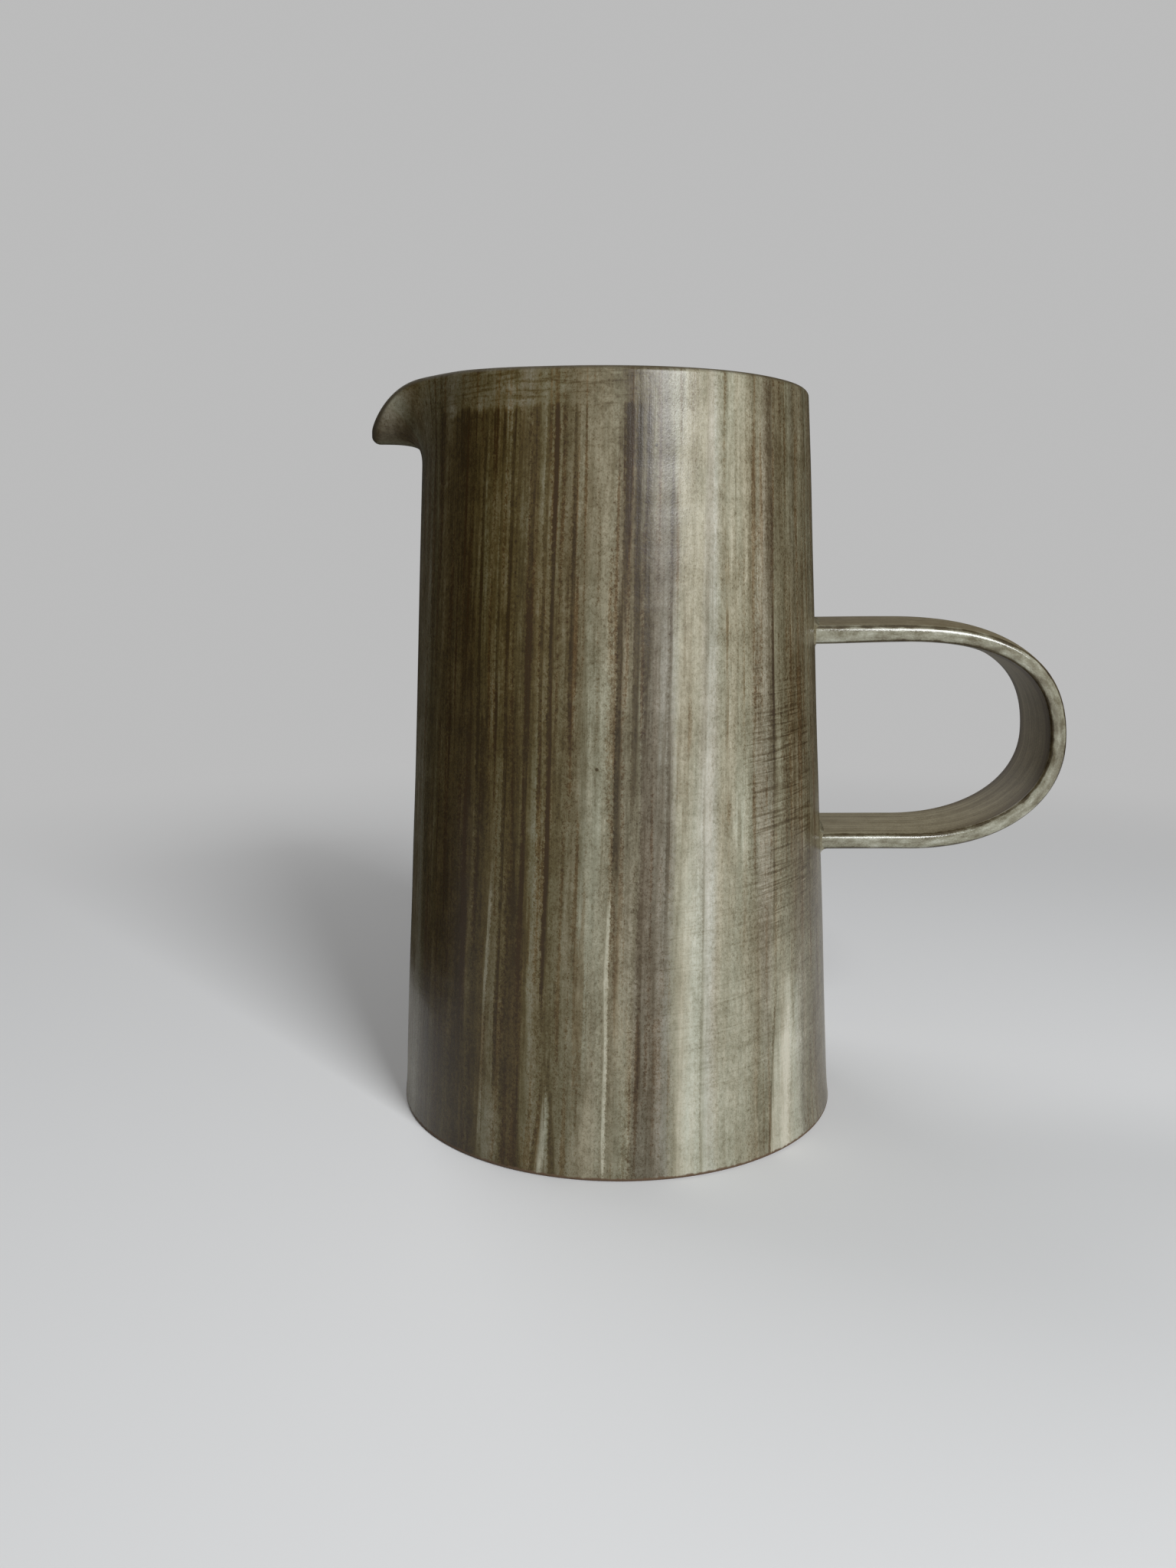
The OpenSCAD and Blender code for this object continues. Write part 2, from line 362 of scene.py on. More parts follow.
# Shades of the fired glaze from where it broke thin and dark to where it pooled, in linear colour
glaze_shades = (
    (0.00, (0.0261, 0.0161, 0.0058)),
    (0.22, (0.0655, 0.0482, 0.0222)),
    (0.42, (0.132, 0.113, 0.068)),
    (0.62, (0.232, 0.214, 0.148)),
    (0.82, (0.352, 0.335, 0.256)),
    (1.00, (0.458, 0.443, 0.359)),
)


def glaze_colour(tree, tone):
    """Colour of the glaze at a tone from 0, thin and dark, to 1, thick and pale."""
    step = tree.nodes.new("ShaderNodeValToRGB")
    tree.links.new(tone, step.inputs[0])
    ramp = step.color_ramp
    while len(ramp.elements) < len(glaze_shades):
        ramp.elements.new(0.5)
    for stop, (tone_at, shade) in zip(ramp.elements, glaze_shades):
        stop.position = tone_at
        stop.color = (*shade, 1)
    return step.outputs[0]


relief_depth = 0.06 * mm


def fire(tree, colour, roughness, height, relief, gloss=0.32):
    """Feeds a finished glaze into its shader."""
    surface = tree.nodes["Principled BSDF"]
    surface.inputs["Specular IOR Level"].default_value = gloss
    tree.links.new(colour, surface.inputs["Base Color"])
    tree.links.new(roughness, surface.inputs["Roughness"])
    raised = feed(tree, "ShaderNodeBump", relief, relief_depth, 1.0, height)
    tree.links.new(raised, surface.inputs["Normal"])


# Where the brush went: its lean in degrees for each metre up from a height, the band that it left round
# the rim, the patch beside the handle where it went across, and two pits. Angles are from the front.
brush_lean = -22.0
lean_from = 100 * mm
brush_r = (foot_r + rim_r) / 2
band_low = 190.4 * mm
band_high = 192.6 * mm
heavy_band = -26.0
cross_turn = 48.0
cross_z = 94 * mm
pits = ((9.0, 182 * mm), (-6.0, 105 * mm))


def brush_marks(tree):
    """The patterns that the wall's glaze is made of, and the places on the wall where they change."""
    marks = SimpleNamespace()
    marks.place = on_piece(tree)
    marks.x, marks.y, marks.z = split(tree, marks.place)
    forward = calc(tree, "MULTIPLY", marks.y, -1.0)
    marks.front = calc(tree, "DEGREES", calc(tree, "ARCTAN2", marks.x, forward))
    # The strokes lean a little and waver
    sway = grain(tree, marks.place, (60 * mm, 60 * mm, 70 * mm), 1.0)
    climb = calc(tree, "SUBTRACT", marks.z, lean_from)
    leaning = add_up(tree, marks.front, (climb, brush_lean), (sway, 0.4))
    brush_turn = calc(tree, "RADIANS", leaning)
    marks.brush = feed(
        tree, "ShaderNodeCombineXYZ",
        calc(tree, "MULTIPLY", calc(tree, "SINE", brush_turn), brush_r),
        calc(tree, "MULTIPLY", calc(tree, "COSINE", brush_turn), -brush_r),
        marks.z,
    )
    # Along the brush: broad swathes, its load of glaze, lines of single bristles, hairs and fine scratches
    marks.broad = grain(tree, marks.brush, (15 * mm, 15 * mm, 110 * mm), 1.0)
    marks.load = grain(tree, marks.brush, (3.3 * mm, 3.3 * mm, 55 * mm), 2.0, 3.1)
    marks.lines = grain(tree, marks.brush, (1.5 * mm, 1.5 * mm, 60 * mm), 1.0, 7.7)
    marks.hair = grain(tree, marks.brush, (1.2 * mm, 1.2 * mm, 28 * mm), 2.0, 5.3)
    marks.fine = grain(tree, marks.brush, (0.55 * mm, 0.55 * mm, 14 * mm), 1.0, 1.9)
    # In the glaze itself: specks, grit, mottling and blotches
    marks.specks = grain(tree, marks.place, (0.27 * mm, 0.27 * mm, 0.36 * mm), 2.0)
    marks.grit = grain(tree, marks.place, (0.8 * mm, 0.8 * mm, 1.0 * mm), 2.0, 4.7, 0.8)
    marks.mottle = grain(tree, marks.place, (6 * mm, 6 * mm, 8 * mm), 4.0, 2.3, 0.95)
    marks.blotch = grain(tree, marks.place, (17 * mm, 17 * mm, 12 * mm), 2.0, 1.3)
    # Round the wall: strokes along the rim, and inside
    marks.rim_drag = grain(tree, marks.place, (9 * mm, 9 * mm, 0.75 * mm), 2.0, 6.2)
    # The sides of a broad stroke and of a narrow one, and the ends of both
    marks.ragged = add_up(
        tree, leaning, (marks.hair, 0.45), (marks.load, 0.40), (marks.grit, 0.5), (marks.specks, 0.2),
    )
    marks.crisp = add_up(tree, leaning, (marks.hair, 0.22), (marks.grit, 0.20), (marks.specks, 0.12))
    marks.ragged_z = add_up(tree, marks.z, (marks.hair, 10 * mm), (marks.load, 7 * mm))
    # The side with the handle to the right, the beak, and where streaks show: less on the beak and low down
    marks.seen_side = near(tree, marks.front, 0.0, 92.0, 74.0)
    plain_r = calc(tree, "MULTIPLY_ADD", marks.z, (rim_r - foot_r) / body_h, foot_r)
    level = feed(tree, "ShaderNodeCombineXYZ", marks.x, marks.y, 0.0)
    past_wall = calc(tree, "SUBTRACT", measure(tree, "LENGTH", level), plain_r)
    marks.on_beak = ease(tree, past_wall, 0.6 * mm, 4 * mm)
    marks.off_beak = calc(tree, "SUBTRACT", 1.0, calc(tree, "MULTIPLY", marks.on_beak, 0.88))
    low_calm = calc(tree, "MULTIPLY_ADD", ease(tree, marks.z, 95 * mm, 60 * mm), -0.3, 1.0)
    marks.streaky = calc(tree, "MULTIPLY", marks.off_beak, low_calm)
    # The inside, and what faces down
    normal = tree.nodes.new("ShaderNodeNewGeometry").outputs["Normal"]
    radial = feed(tree, "ShaderNodeVectorMath", level, operation="NORMALIZE")
    marks.inside = ease(tree, measure(tree, "DOT_PRODUCT", normal, radial), 0.0, -0.4)
    marks.facing_down = ease(tree, split(tree, normal)[2], -0.80, -0.97)
    return marks


def drag_streaks(tree, marks):
    """Tone of the plain streaks: paler low on the right, as painted light bounced up from the floor, darker
    on the beak, and paler again at its tip, as painted light.
    """
    free_hand = mixed(tree, marks.seen_side, 0.22, 0.05)
    streaks = add_up(
        tree, calc(tree, "MULTIPLY", marks.broad, free_hand),
        (marks.load, 0.09), (marks.hair, 0.065), (marks.fine, 0.045),
    )
    rings = grain(tree, marks.place, (90 * mm, 90 * mm, 9 * mm), 2.0, 8.8)
    # Painted light bounced up from the floor: the wall is made paler towards the foot, at the front and on
    # the right.
    painted_floor_bounce = times(tree, ease(tree, marks.z, 85 * mm, 8 * mm), ease(tree, marks.front, -14.0, 0.0))
    beak_top = times(tree, marks.on_beak, ease(tree, marks.z, 189 * mm, 196 * mm))
    # Painted light on the top of the beak near its tip.
    painted_tip_light = times(tree, beak_top, ease(tree, marks.x, -52 * mm, -61 * mm))
    return add_up(
        tree, 0.44, (times(tree, streaks, marks.streaky), 1.0), (rings, 0.03), (marks.blotch, 0.028),
        (painted_floor_bounce, 0.05), (marks.on_beak, -0.20), (painted_tip_light, 0.34),
    )


# Strokes on the side with the handle to the right: angle from the front in degrees, half width in degrees,
# lowest and highest point in mm, how much paler or darker it is, and its own lean in degrees per metre
strokes = (
    # The first two broad dark strokes are partly darker glaze and partly painted shade on the side that
    # turns away from the lamp.
    (-58.0, 6.0, -20, 230, -0.22, 0),
    (-46.5, 6.5, -20, 230, -0.32, 0),
    (-41.0, 4.5, -20, 150, -0.10, 0),
    (-36.0, 3.2, -20, 120, -0.10, 0),
    (-39.6, 0.5, 100, 230, -0.22, 0),
    (-36.5, 2.6, -20, 230, -0.20, 0),
    (-34.6, 0.4, 6, 78, 0.24, 14),
    (-33.6, 0.4, 110, 230, -0.20, 0),
    (-30.6, 0.5, 20, 230, -0.22, 0),
    (-30.4, 3.0, 20, 230, -0.12, 0),
    (-27.0, 12.0, 78, 230, -0.04, 0),
    (-26.0, 3.8, -20, 230, -0.14, 0),
    (-25.4, 2.8, -20, 75, -0.16, 0),
    (-24.6, 0.6, 60, 230, -0.14, 0),
    (-20.8, 0.5, 100, 230, -0.20, 0),
    (-18.4, 0.5, 45, 230, -0.26, 0),
    (-19.8, 0.6, -20, 20, -0.20, 90),
    (-17.2, 0.9, 0, 18, 0.26, 40),
    (-14.6, 0.7, -20, 24, -0.22, -60),
    (-16.6, 3.0, 20, 230, -0.10, 0),
    (-13.2, 0.55, 110, 230, -0.20, 0),
    (-12.0, 2.4, -20, 170, -0.07, 0),
    (-7.0, 3.2, -20, 190, 0.09, 0),
    (-5.0, 1.2, 80, 165, 0.04, 0),
    (-3.0, 6.0, 160, 230, -0.04, 0),
    (-2.6, 0.4, 4, 75, 0.28, 0),
    (-1.3, 0.7, 78, 152, -0.30, 0),
    (0.0, 0.8, 150, 230, -0.26, 0),
    (0.4, 2.6, -20, 230, -0.07, 0),
    (1.6, 2.0, -20, 78, 0.10, 0),
    (2.8, 0.7, 95, 230, -0.24, 0),
    (3.2, 4.6, 152, 230, -0.06, 0),
    (5.2, 0.5, 20, 200, -0.12, 0),
    (6.2, 2.8, -20, 230, -0.11, 0),
    (6.0, 2.6, -20, 30, -0.08, 0),
    (11.4, 0.4, 60, 165, -0.14, 0),
    (11.0, 5.0, -20, 160, -0.05, 0),
    (12.0, 3.6, 150, 230, -0.02, 0),
    (18.0, 6.0, -20, 230, 0.20, 0),
    (17.6, 2.6, -20, 78, 0.18, 0),
    (20.9, 0.22, 0, 105, -0.12, 0),
    (25.0, 3.6, -20, 230, 0.16, 0),
    (24.0, 3.4, -20, 80, 0.05, 0),
    (30.6, 3.2, 88, 230, 0.14, 0),
    (31.0, 3.4, 160, 230, 0.07, 0),
    (31.0, 3.2, -20, 100, 0.17, 0),
    (36.6, 2.8, -20, 230, 0.04, 0),
    (42.0, 1.3, 100, 230, -0.13, 0),
    (45.0, 4.5, 155, 230, -0.06, 0),
    (42.9, 0.35, 60, 150, -0.18, 0),
    (44.4, 3.2, -20, 30, 0.29, 70),
    (40.6, 0.35, -20, 44, -0.16, 70),
    (46.0, 5.0, 24, 72, 0.10, 0),
    (50.6, 4.6, -20, 44, 0.27, 0),
    (55.0, 9.0, 60, 230, -0.09, 0),
    (64.0, 5.0, 85, 230, 0.05, 0),
    (62.0, 5.0, 155, 230, 0.05, 0),
    # Painted shade: a broad dark stroke along the right edge of the wall.
    (70.0, 9.0, -20, 230, -0.12, 0),
)
narrow_half = 1
stroke_fade = 8


def lay_strokes(tree, marks, tone):
    """Lays the strokes over the streaks, each with soft sides and ends that run out."""
    patchy = calc(tree, "MULTIPLY_ADD", marks.blotch, 0.12, 1.0)
    for angle, half, low, high, shade, own_lean in strokes:
        sides = marks.ragged if half > narrow_half else marks.crisp
        climb = calc(tree, "SUBTRACT", marks.z, max(low, 0) * mm)
        leant = calc(tree, "MULTIPLY_ADD", climb, -own_lean, sides)
        laid = near(tree, leant, angle, 1.4 * half + 0.1, 0.5 * half)
        from_foot = ease(tree, marks.ragged_z, (low - stroke_fade) * mm, (low + stroke_fade) * mm)
        to_rim = ease(tree, marks.ragged_z, (high + stroke_fade) * mm, (high - stroke_fade) * mm)
        tone = calc(tree, "MULTIPLY_ADD", times(tree, laid, patchy, from_foot, to_rim), shade, tone)
    return tone


def draw_bristle_lines(tree, marks, tone):
    """Draws the dark lines that single bristles left where the glaze is dark."""
    dark = times(tree, ease(tree, tone, 0.66, 0.40), marks.streaky)
    broken = add_up(tree, marks.lines, (marks.specks, 0.25), (marks.grit, 0.40), (marks.mottle, 0.25))
    marks.bristled = times(tree, ease(tree, broken, 0.10, 0.80), dark)
    return calc(tree, "MULTIPLY_ADD", marks.bristled, -0.15, tone)


def drag_across(tree, marks, tone):
    """Drags dry cross strokes over the wall beside the handle, and fainter ones low down."""
    rising = feed(
        tree, "ShaderNodeCombineXYZ", marks.x, marks.y, calc(tree, "MULTIPLY_ADD", marks.x, -0.08, marks.z),
    )
    drag = grain(tree, rising, (15 * mm, 15 * mm, 0.70 * mm), 1.0, 4.1)
    drag = calc(tree, "MULTIPLY_ADD", marks.mottle, 0.25, drag)
    nap = grain(tree, rising, (9 * mm, 9 * mm, 0.50 * mm), 1.0, 2.9)
    scratched = add_up(tree, 0.0, (ease(tree, drag, 0.22, 0.70), -0.17), (nap, 0.08))
    beside = near(tree, marks.ragged, cross_turn, 18.0, 10.0)
    level = near(tree, marks.ragged_z, cross_z, 38 * mm, 18 * mm)
    below = times(tree, ease(tree, marks.z, 80 * mm, 66 * mm), ease(tree, marks.z, 10 * mm, 26 * mm))
    below = times(tree, ease(tree, marks.front, -4.0, 20.0), below)
    crossed = calc(tree, "MAXIMUM", times(tree, beside, level), times(tree, below, 0.35))
    return calc(tree, "MULTIPLY_ADD", crossed, scratched, tone)


def brush_rim(tree, marks, tone):
    """Brushes a band round the rim, over glaze that pooled dark between the bristles below it."""
    patch = grain(tree, marks.place, (5 * mm, 5 * mm, 3 * mm), 2.0, 5.9)
    heavy = near(tree, marks.front, heavy_band, 42.0, 24.0)
    heavy = calc(tree, "MAXIMUM", heavy, calc(tree, "MULTIPLY_ADD", marks.seen_side, -0.7, 0.7))
    pooled = times(tree, ease(tree, marks.z, 166 * mm, 190 * mm), ease(tree, marks.lines, -0.2, 0.5))
    tone = calc(tree, "MULTIPLY_ADD", times(tree, pooled, heavy), -0.13, tone)
    band_z = add_up(
        tree, marks.z,
        (marks.load, 0.7 * mm), (marks.hair, 0.6 * mm), (marks.grit, 0.5 * mm), (patch, 0.6 * mm),
    )
    covers = calc(tree, "MULTIPLY_ADD", heavy, 0.66, 0.08)
    banded = times(tree, ease(tree, band_z, band_low, band_high), covers)
    dashes = times(tree, ease(tree, marks.rim_drag, 0.05, 0.65), marks.off_beak)
    band = add_up(tree, 0.43, (dashes, -0.15), (patch, 0.07), (marks.load, 0.05), (marks.on_beak, -0.08))
    return mixed(tree, banded, tone, band)


def pour_inside(tree, marks, tone):
    """Pours plain glaze inside, and paints light under the beak, where faces that look down catch light
    from the table.
    """
    # Painted light under the beak: the faces there that look down are made paler.
    painted_underlight = times(tree, marks.facing_down, marks.on_beak)
    tone = calc(tree, "MULTIPLY_ADD", painted_underlight, 0.20, tone)
    plain = add_up(tree, 0.50, (marks.rim_drag, 0.06), (marks.mottle, 0.05), (marks.broad, 0.04))
    return mixed(tree, marks.inside, tone, plain)


def speckle(tree, marks, tone):
    """Speckles and mottles the glaze, less so inside, and opens the pits."""
    flecked = mixed(tree, ease(tree, tone, 0.50, 0.90), -0.09, -0.06)
    flecks = times(tree, ease(tree, add_up(tree, marks.specks, (marks.grit, 0.6)), 0.1, 0.9), flecked)
    texture = add_up(tree, flecks, (marks.specks, -0.04), (marks.grit, -0.065), (marks.mottle, 0.11))
    calm = calc(tree, "MULTIPLY_ADD", marks.inside, -0.6, 1.0)
    tone = calc(tree, "MULTIPLY_ADD", texture, calm, tone)
    for pit_turn, pit_z in pits:
        turn = math.radians(pit_turn)
        pit = (wall_r(pit_z) * math.sin(turn), -wall_r(pit_z) * math.cos(turn), pit_z)
        opened = ease(tree, measure(tree, "DISTANCE", marks.place, pit), 0.55 * mm, 0.25 * mm)
        tone = calc(tree, "MULTIPLY_ADD", opened, -0.35, tone)
    return tone


# Tints that multiply the shades of the glaze, and colours of their own, in linear colour
mauve = (1.0, 1.0, 1.16, 1)
rust = (1.16, 0.98, 0.84, 1)
warm_olive = (1.06, 1.0, 0.64, 1)
cool_tinge = (0.955, 1.0, 1.02, 1)
warm_tinge = (1.035, 0.995, 0.975, 1)
thin_glaze = (0.055, 0.042, 0.022, 1)
# The bare clay of the foot is painted darker than the clay under the base, as shade where the wall meets
# the floor.
shaded_bare_foot = (0.098, 0.060, 0.033, 1)
mauve_turn = 8.5


def tint_wall(tree, marks, tone):
    """Colour of the wall: mauve in the middle, rust in the bristle lines, warm olive towards the spout."""
    colour = glaze_colour(tree, tone)
    violet = near(tree, marks.ragged, mauve_turn, 6.0, 2.5)
    violet = times(tree, violet, ease(tree, marks.z, 185 * mm, 150 * mm))
    elsewhere = ease(tree, grain(tree, marks.brush, (9 * mm, 9 * mm, 240 * mm), 1.0, 9.4), 0.1, 0.9)
    violet = calc(tree, "MAXIMUM", violet, times(tree, elsewhere, 0.5))
    colour = tinted(tree, violet, colour, mauve, "MULTIPLY")
    colour = tinted(tree, times(tree, marks.bristled, 0.8), colour, rust, "MULTIPLY")
    drift = grain(tree, marks.brush, (5 * mm, 5 * mm, 90 * mm), 2.0, 6.6)
    warmer = ease(tree, add_up(tree, 0.5, (drift, 0.4), (marks.mottle, 0.15)), 0.1, 0.9)
    colour = tinted(tree, 1.0, colour, tinted(tree, warmer, cool_tinge, warm_tinge), "MULTIPLY")
    spoutward = times(tree, ease(tree, marks.front, -2.0, -24.0), ease(tree, marks.front, -95.0, -60.0))
    outside = calc(tree, "SUBTRACT", 1.0, marks.inside)
    olive = times(tree, spoutward, outside, ease(tree, tone, 0.50, 0.16))
    return tinted(tree, olive, colour, warm_olive, "MULTIPLY")


def brushed_glaze(name):
    """Glaze dragged down the wall, thin on the crest of the rim, and wiped off the foot, whose bare clay is
    painted darker as shade where it meets the floor.
    """
    glaze, tree = new_finish(name)
    marks = brush_marks(tree)
    tone = drag_streaks(tree, marks)
    for step in (lay_strokes, draw_bristle_lines, drag_across, brush_rim, pour_inside, speckle):
        tone = step(tree, marks, tone)
    colour = tint_wall(tree, marks, tone)
    edge = feed(tree, "ShaderNodeAttribute", attribute_name="thin_edge").node.outputs["Fac"]
    colour = tinted(tree, times(tree, edge, 0.9), colour, thin_glaze)
    # The foot is wiped bare, and its clay is painted dark as shade at the floor.
    bare = ease(tree, add_up(tree, marks.z, (marks.hair, 0.25 * mm)), 1.25 * mm, 0.75 * mm)
    colour = tinted(tree, bare, colour, shaded_bare_foot)
    roughness = add_up(tree, 0.31, (marks.specks, 0.05), (marks.hair, 0.03), (bare, 0.45), (edge, 0.2))
    waves = grain(tree, marks.place, (34 * mm, 34 * mm, 9 * mm), 1.0, 3.7)
    height = add_up(
        tree, 0.5, (marks.load, 0.16), (marks.hair, 0.18), (marks.fine, 0.10), (marks.specks, 0.13),
        (marks.grit, 0.18), (marks.mottle, 0.20), (marks.blotch, 0.8), (waves, 1.1),
    )
    fire(tree, colour, roughness, height, 0.55)
    return glaze


thin_edge_w = 0.7 * mm
thin_edge_full = 0.9


def mark_thin_edge(piece):
    """Marks the crest of the rim, where the glaze ran thin off the clay."""
    marks = piece.data.attributes.new("thin_edge", "FLOAT", "POINT")
    for vert, mark in zip(piece.data.vertices, marks.data):
        angle = math.degrees(math.atan2(vert.co.y, -vert.co.x))
        lip, normal = curve_at(lip_curve(angle), 1)
        over = Vector((-normal.y, normal.x))
        flat = rim_flat * (1 - beak(angle, spout_narrow))
        crest = lip + flat * normal + (half_t - flat) * (0.5 * normal + over).normalized()
        away = (Vector((math.hypot(vert.co.x, vert.co.y), vert.co.z)) - crest).length
        mark.value = min(max(1 + thin_edge_full - away / thin_edge_w, 0), 1)


# Spout
# The beak that guides the stream, a piece of the same clay pulled out between finger and thumb.
# It fills a notch in the rim and is smoothed into the wall, so no join shows under the glaze.
notch_reach = 2 * rim_r
notch_h = body_h / 2
notch_side = math.radians(spout_half + 180 / wall_steps)
bpy.ops.object.select_all(action="DESELECT")
bpy.ops.mesh.primitive_plane_add(size=rim_r, location=(0, 0, 0))
notch = bpy.context.object
for corner, place in zip((0, 1, 3, 2), (
    (0, 0),
    (-notch_reach * math.cos(notch_side), -notch_reach * math.sin(notch_side)),
    (-notch_reach, 0),
    (-notch_reach * math.cos(notch_side), notch_reach * math.sin(notch_side)),
)):
    notch.data.vertices[corner].co = (place[0], place[1], sill_z)
bpy.ops.object.mode_set(mode="EDIT")
bpy.ops.mesh.select_all(action="SELECT")
bpy.ops.mesh.extrude_region_move(TRANSFORM_OT_translate={"value": (0, 0, notch_h)})
face_outwards()


def take_up(piece):
    """Selects one piece alone and makes it the active one."""
    bpy.ops.object.select_all(action="DESELECT")
    bpy.context.view_layer.objects.active = piece
    piece.select_set(True)


def use_modifier(piece, kind, **settings):
    """Adds a modifier to a piece and applies it."""
    take_up(piece)
    bpy.ops.object.modifier_add(type=kind)
    change = piece.modifiers[-1]
    for setting, value in settings.items():
        setattr(change, setting, value)
    bpy.ops.object.modifier_apply(modifier=change.name)


def smooth(piece, degrees):
    """Smooth shading, with edges kept where faces turn by more than an angle."""
    take_up(piece)
    bpy.ops.object.shade_smooth_by_angle(angle=math.radians(degrees))


take_up(wall)
bpy.ops.object.duplicate()
spout = bpy.context.object
spout.name = "pulled_spout"
use_modifier(wall, "BOOLEAN", operation="DIFFERENCE", object=notch, solver="EXACT")
use_modifier(spout, "BOOLEAN", operation="INTERSECT", object=notch, solver="EXACT")
bpy.data.objects.remove(notch)
for piece, node, slot in ((wall, "body_wall", "body_glaze"), (spout, "pouring_spout", "spout_glaze")):
    smooth(piece, 40)
    mark_thin_edge(piece)
    piece.data.materials.clear()
    piece.data.materials.append(brushed_glaze(slot))
    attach(piece, "root")
    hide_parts(node)

# Base
# A disc of clay let into the bottom of the wall, a little above its foot, so the jug stands on a ring.
# Its underside is bare fired clay, trimmed flat, and its top is glazed with the inside.
base_recess = 1.5 * mm
base_t = 5 * mm
base_edge_r = 0.5 * mm
base_edge_steps = 3
base_rings = 23
base_hollow = 0.5 * mm
slip_t = 0.1 * mm
inside_steps = 160
base_top = base_recess + base_t


def inner_r(z):
    """Inner radius of the wall at a height."""
    return wall_r(z) - wall_t


base_low = (inner_r(base_recess) - slip_t, base_recess)
base_high = (inner_r(base_top) - slip_t, base_top)
base = section_plane("base_disc_clay", ((0, base_recess), base_low, base_high, (0, base_top)))
select(base, "VERT", lambda vert: vert.co.x > foot_r / 2)
round_off(base_edge_r, base_edge_steps)
keep_outline(base)
select(base, "EDGE", lambda edge: all(vert.co.x < close for vert in edge.verts))
bpy.ops.mesh.delete(type="EDGE")
select(base, "EDGE", lambda edge: min(vert.co.x for vert in edge.verts) < close)
bpy.ops.mesh.subdivide(number_cuts=base_rings)
throw_round(inside_steps)
for vert in base.data.vertices:
    across = math.hypot(vert.co.x, vert.co.y) / base_low[0]
    if vert.co.z < base_recess + base_t / 4:
        vert.co.z += base_hollow * (1 - across * across)
smooth(base, 35)

# Bare clay from where it fired dark to where it blushed, in linear colour
dark_clay = (0.235, 0.145, 0.085, 1)
blushed_clay = (0.36, 0.25, 0.16, 1)


def base_clay(name):
    """Bare fired stoneware underneath, with rings from trimming and plain glaze on top."""
    clay, tree = new_finish(name)
    place = on_piece(tree)
    x, y, z = split(tree, place)
    out = measure(tree, "LENGTH", feed(tree, "ShaderNodeCombineXYZ", x, y, 0.0))
    rings = grain(tree, feed(tree, "ShaderNodeCombineXYZ", out, 0.0, 0.0), (1.8 * mm, 1.0, 1.0), 2.0)
    sand = grain(tree, place, (0.5 * mm, 0.5 * mm, 0.5 * mm), 2.0)
    blush = grain(tree, place, (24 * mm, 24 * mm, 24 * mm), 2.0)
    warm = ease(tree, add_up(tree, 0.5, (blush, 0.5), (sand, 0.25), (rings, 0.15)), 0.0, 1.0)
    bare = tinted(tree, warm, dark_clay, blushed_clay)
    glazed = glaze_colour(tree, add_up(tree, 0.50, (blush, 0.05), (sand, 0.05), (rings, 0.03)))
    top = ease(tree, z, base_recess + 0.4 * base_t, base_recess + 0.6 * base_t)
    colour = tinted(tree, top, bare, glazed)
    roughness = add_up(tree, 0.80, (top, -0.42), (sand, 0.04))
    fire(tree, colour, roughness, add_up(tree, 0.5, (rings, 0.25), (sand, 0.2)), 0.6)
    return clay


base.data.materials.append(base_clay("base_clay"))
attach(base, "root")
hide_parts("base_disc")

# Floor coil
# A thin coil of clay worked into the corner between the base and the wall, inside the jug.
# It is hollowed with a fingertip and glazed with the inside.
coil_leg = 6 * mm
coil_lip = 0.35 * mm
coil_cuts = 11
coil_z = base_top + slip_t
coil_foot = (inner_r(coil_z) - slip_t, coil_z)
coil_top = (inner_r(coil_z + coil_leg) - slip_t, coil_z + coil_leg)
coil_toe_r = coil_foot[0] - coil_leg
coil = section_plane("floor_coil_clay", (
    (coil_toe_r, coil_z), coil_foot, coil_top, (coil_toe_r, coil_z + coil_lip),
))
keep_outline(coil)
select(coil, "EDGE", lambda edge: (max(vert.co.z for vert in edge.verts) > coil_z + coil_leg / 2
                                   and min(vert.co.x for vert in edge.verts) < coil_foot[0] - coil_leg / 2))
bpy.ops.mesh.subdivide(number_cuts=coil_cuts)
throw_round(inside_steps)
hollow_middle = Vector((coil_toe_r, coil_z + coil_leg))
hollow_r = coil_leg - coil_lip
for vert in coil.data.vertices:
    r = math.hypot(vert.co.x, vert.co.y)
    arm = Vector((r, vert.co.z)) - hollow_middle
    if 0 < arm.length < hollow_r and vert.co.z > coil_z + coil_lip / 2:
        arm = arm.normalized() * hollow_r
        scale = (hollow_middle.x + arm.x) / r
        vert.co = (vert.co.x * scale, vert.co.y * scale, hollow_middle.y + arm.y)
smooth(coil, 50)


def plain_glaze(name, tone, spread):
    """Plain poured glaze, a little mottled."""
    glaze, tree = new_finish(name)
    place = on_piece(tree)
    specks = grain(tree, place, (0.34 * mm, 0.34 * mm, 0.34 * mm), 1.0)
    mottle = grain(tree, place, (1.8 * mm, 1.8 * mm, 1.8 * mm), 2.0, 2.3)
    colour = glaze_colour(tree, add_up(tree, tone, (mottle, spread), (specks, 0.055)))
    fire(tree, colour, add_up(tree, 0.27, (specks, 0.05)), add_up(tree, 0.5, (specks, 0.12)), 0.55)
    return glaze


coil.data.materials.append(plain_glaze("inside_glaze", 0.50, 0.05))
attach(coil, "root")
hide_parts("floor_coil")

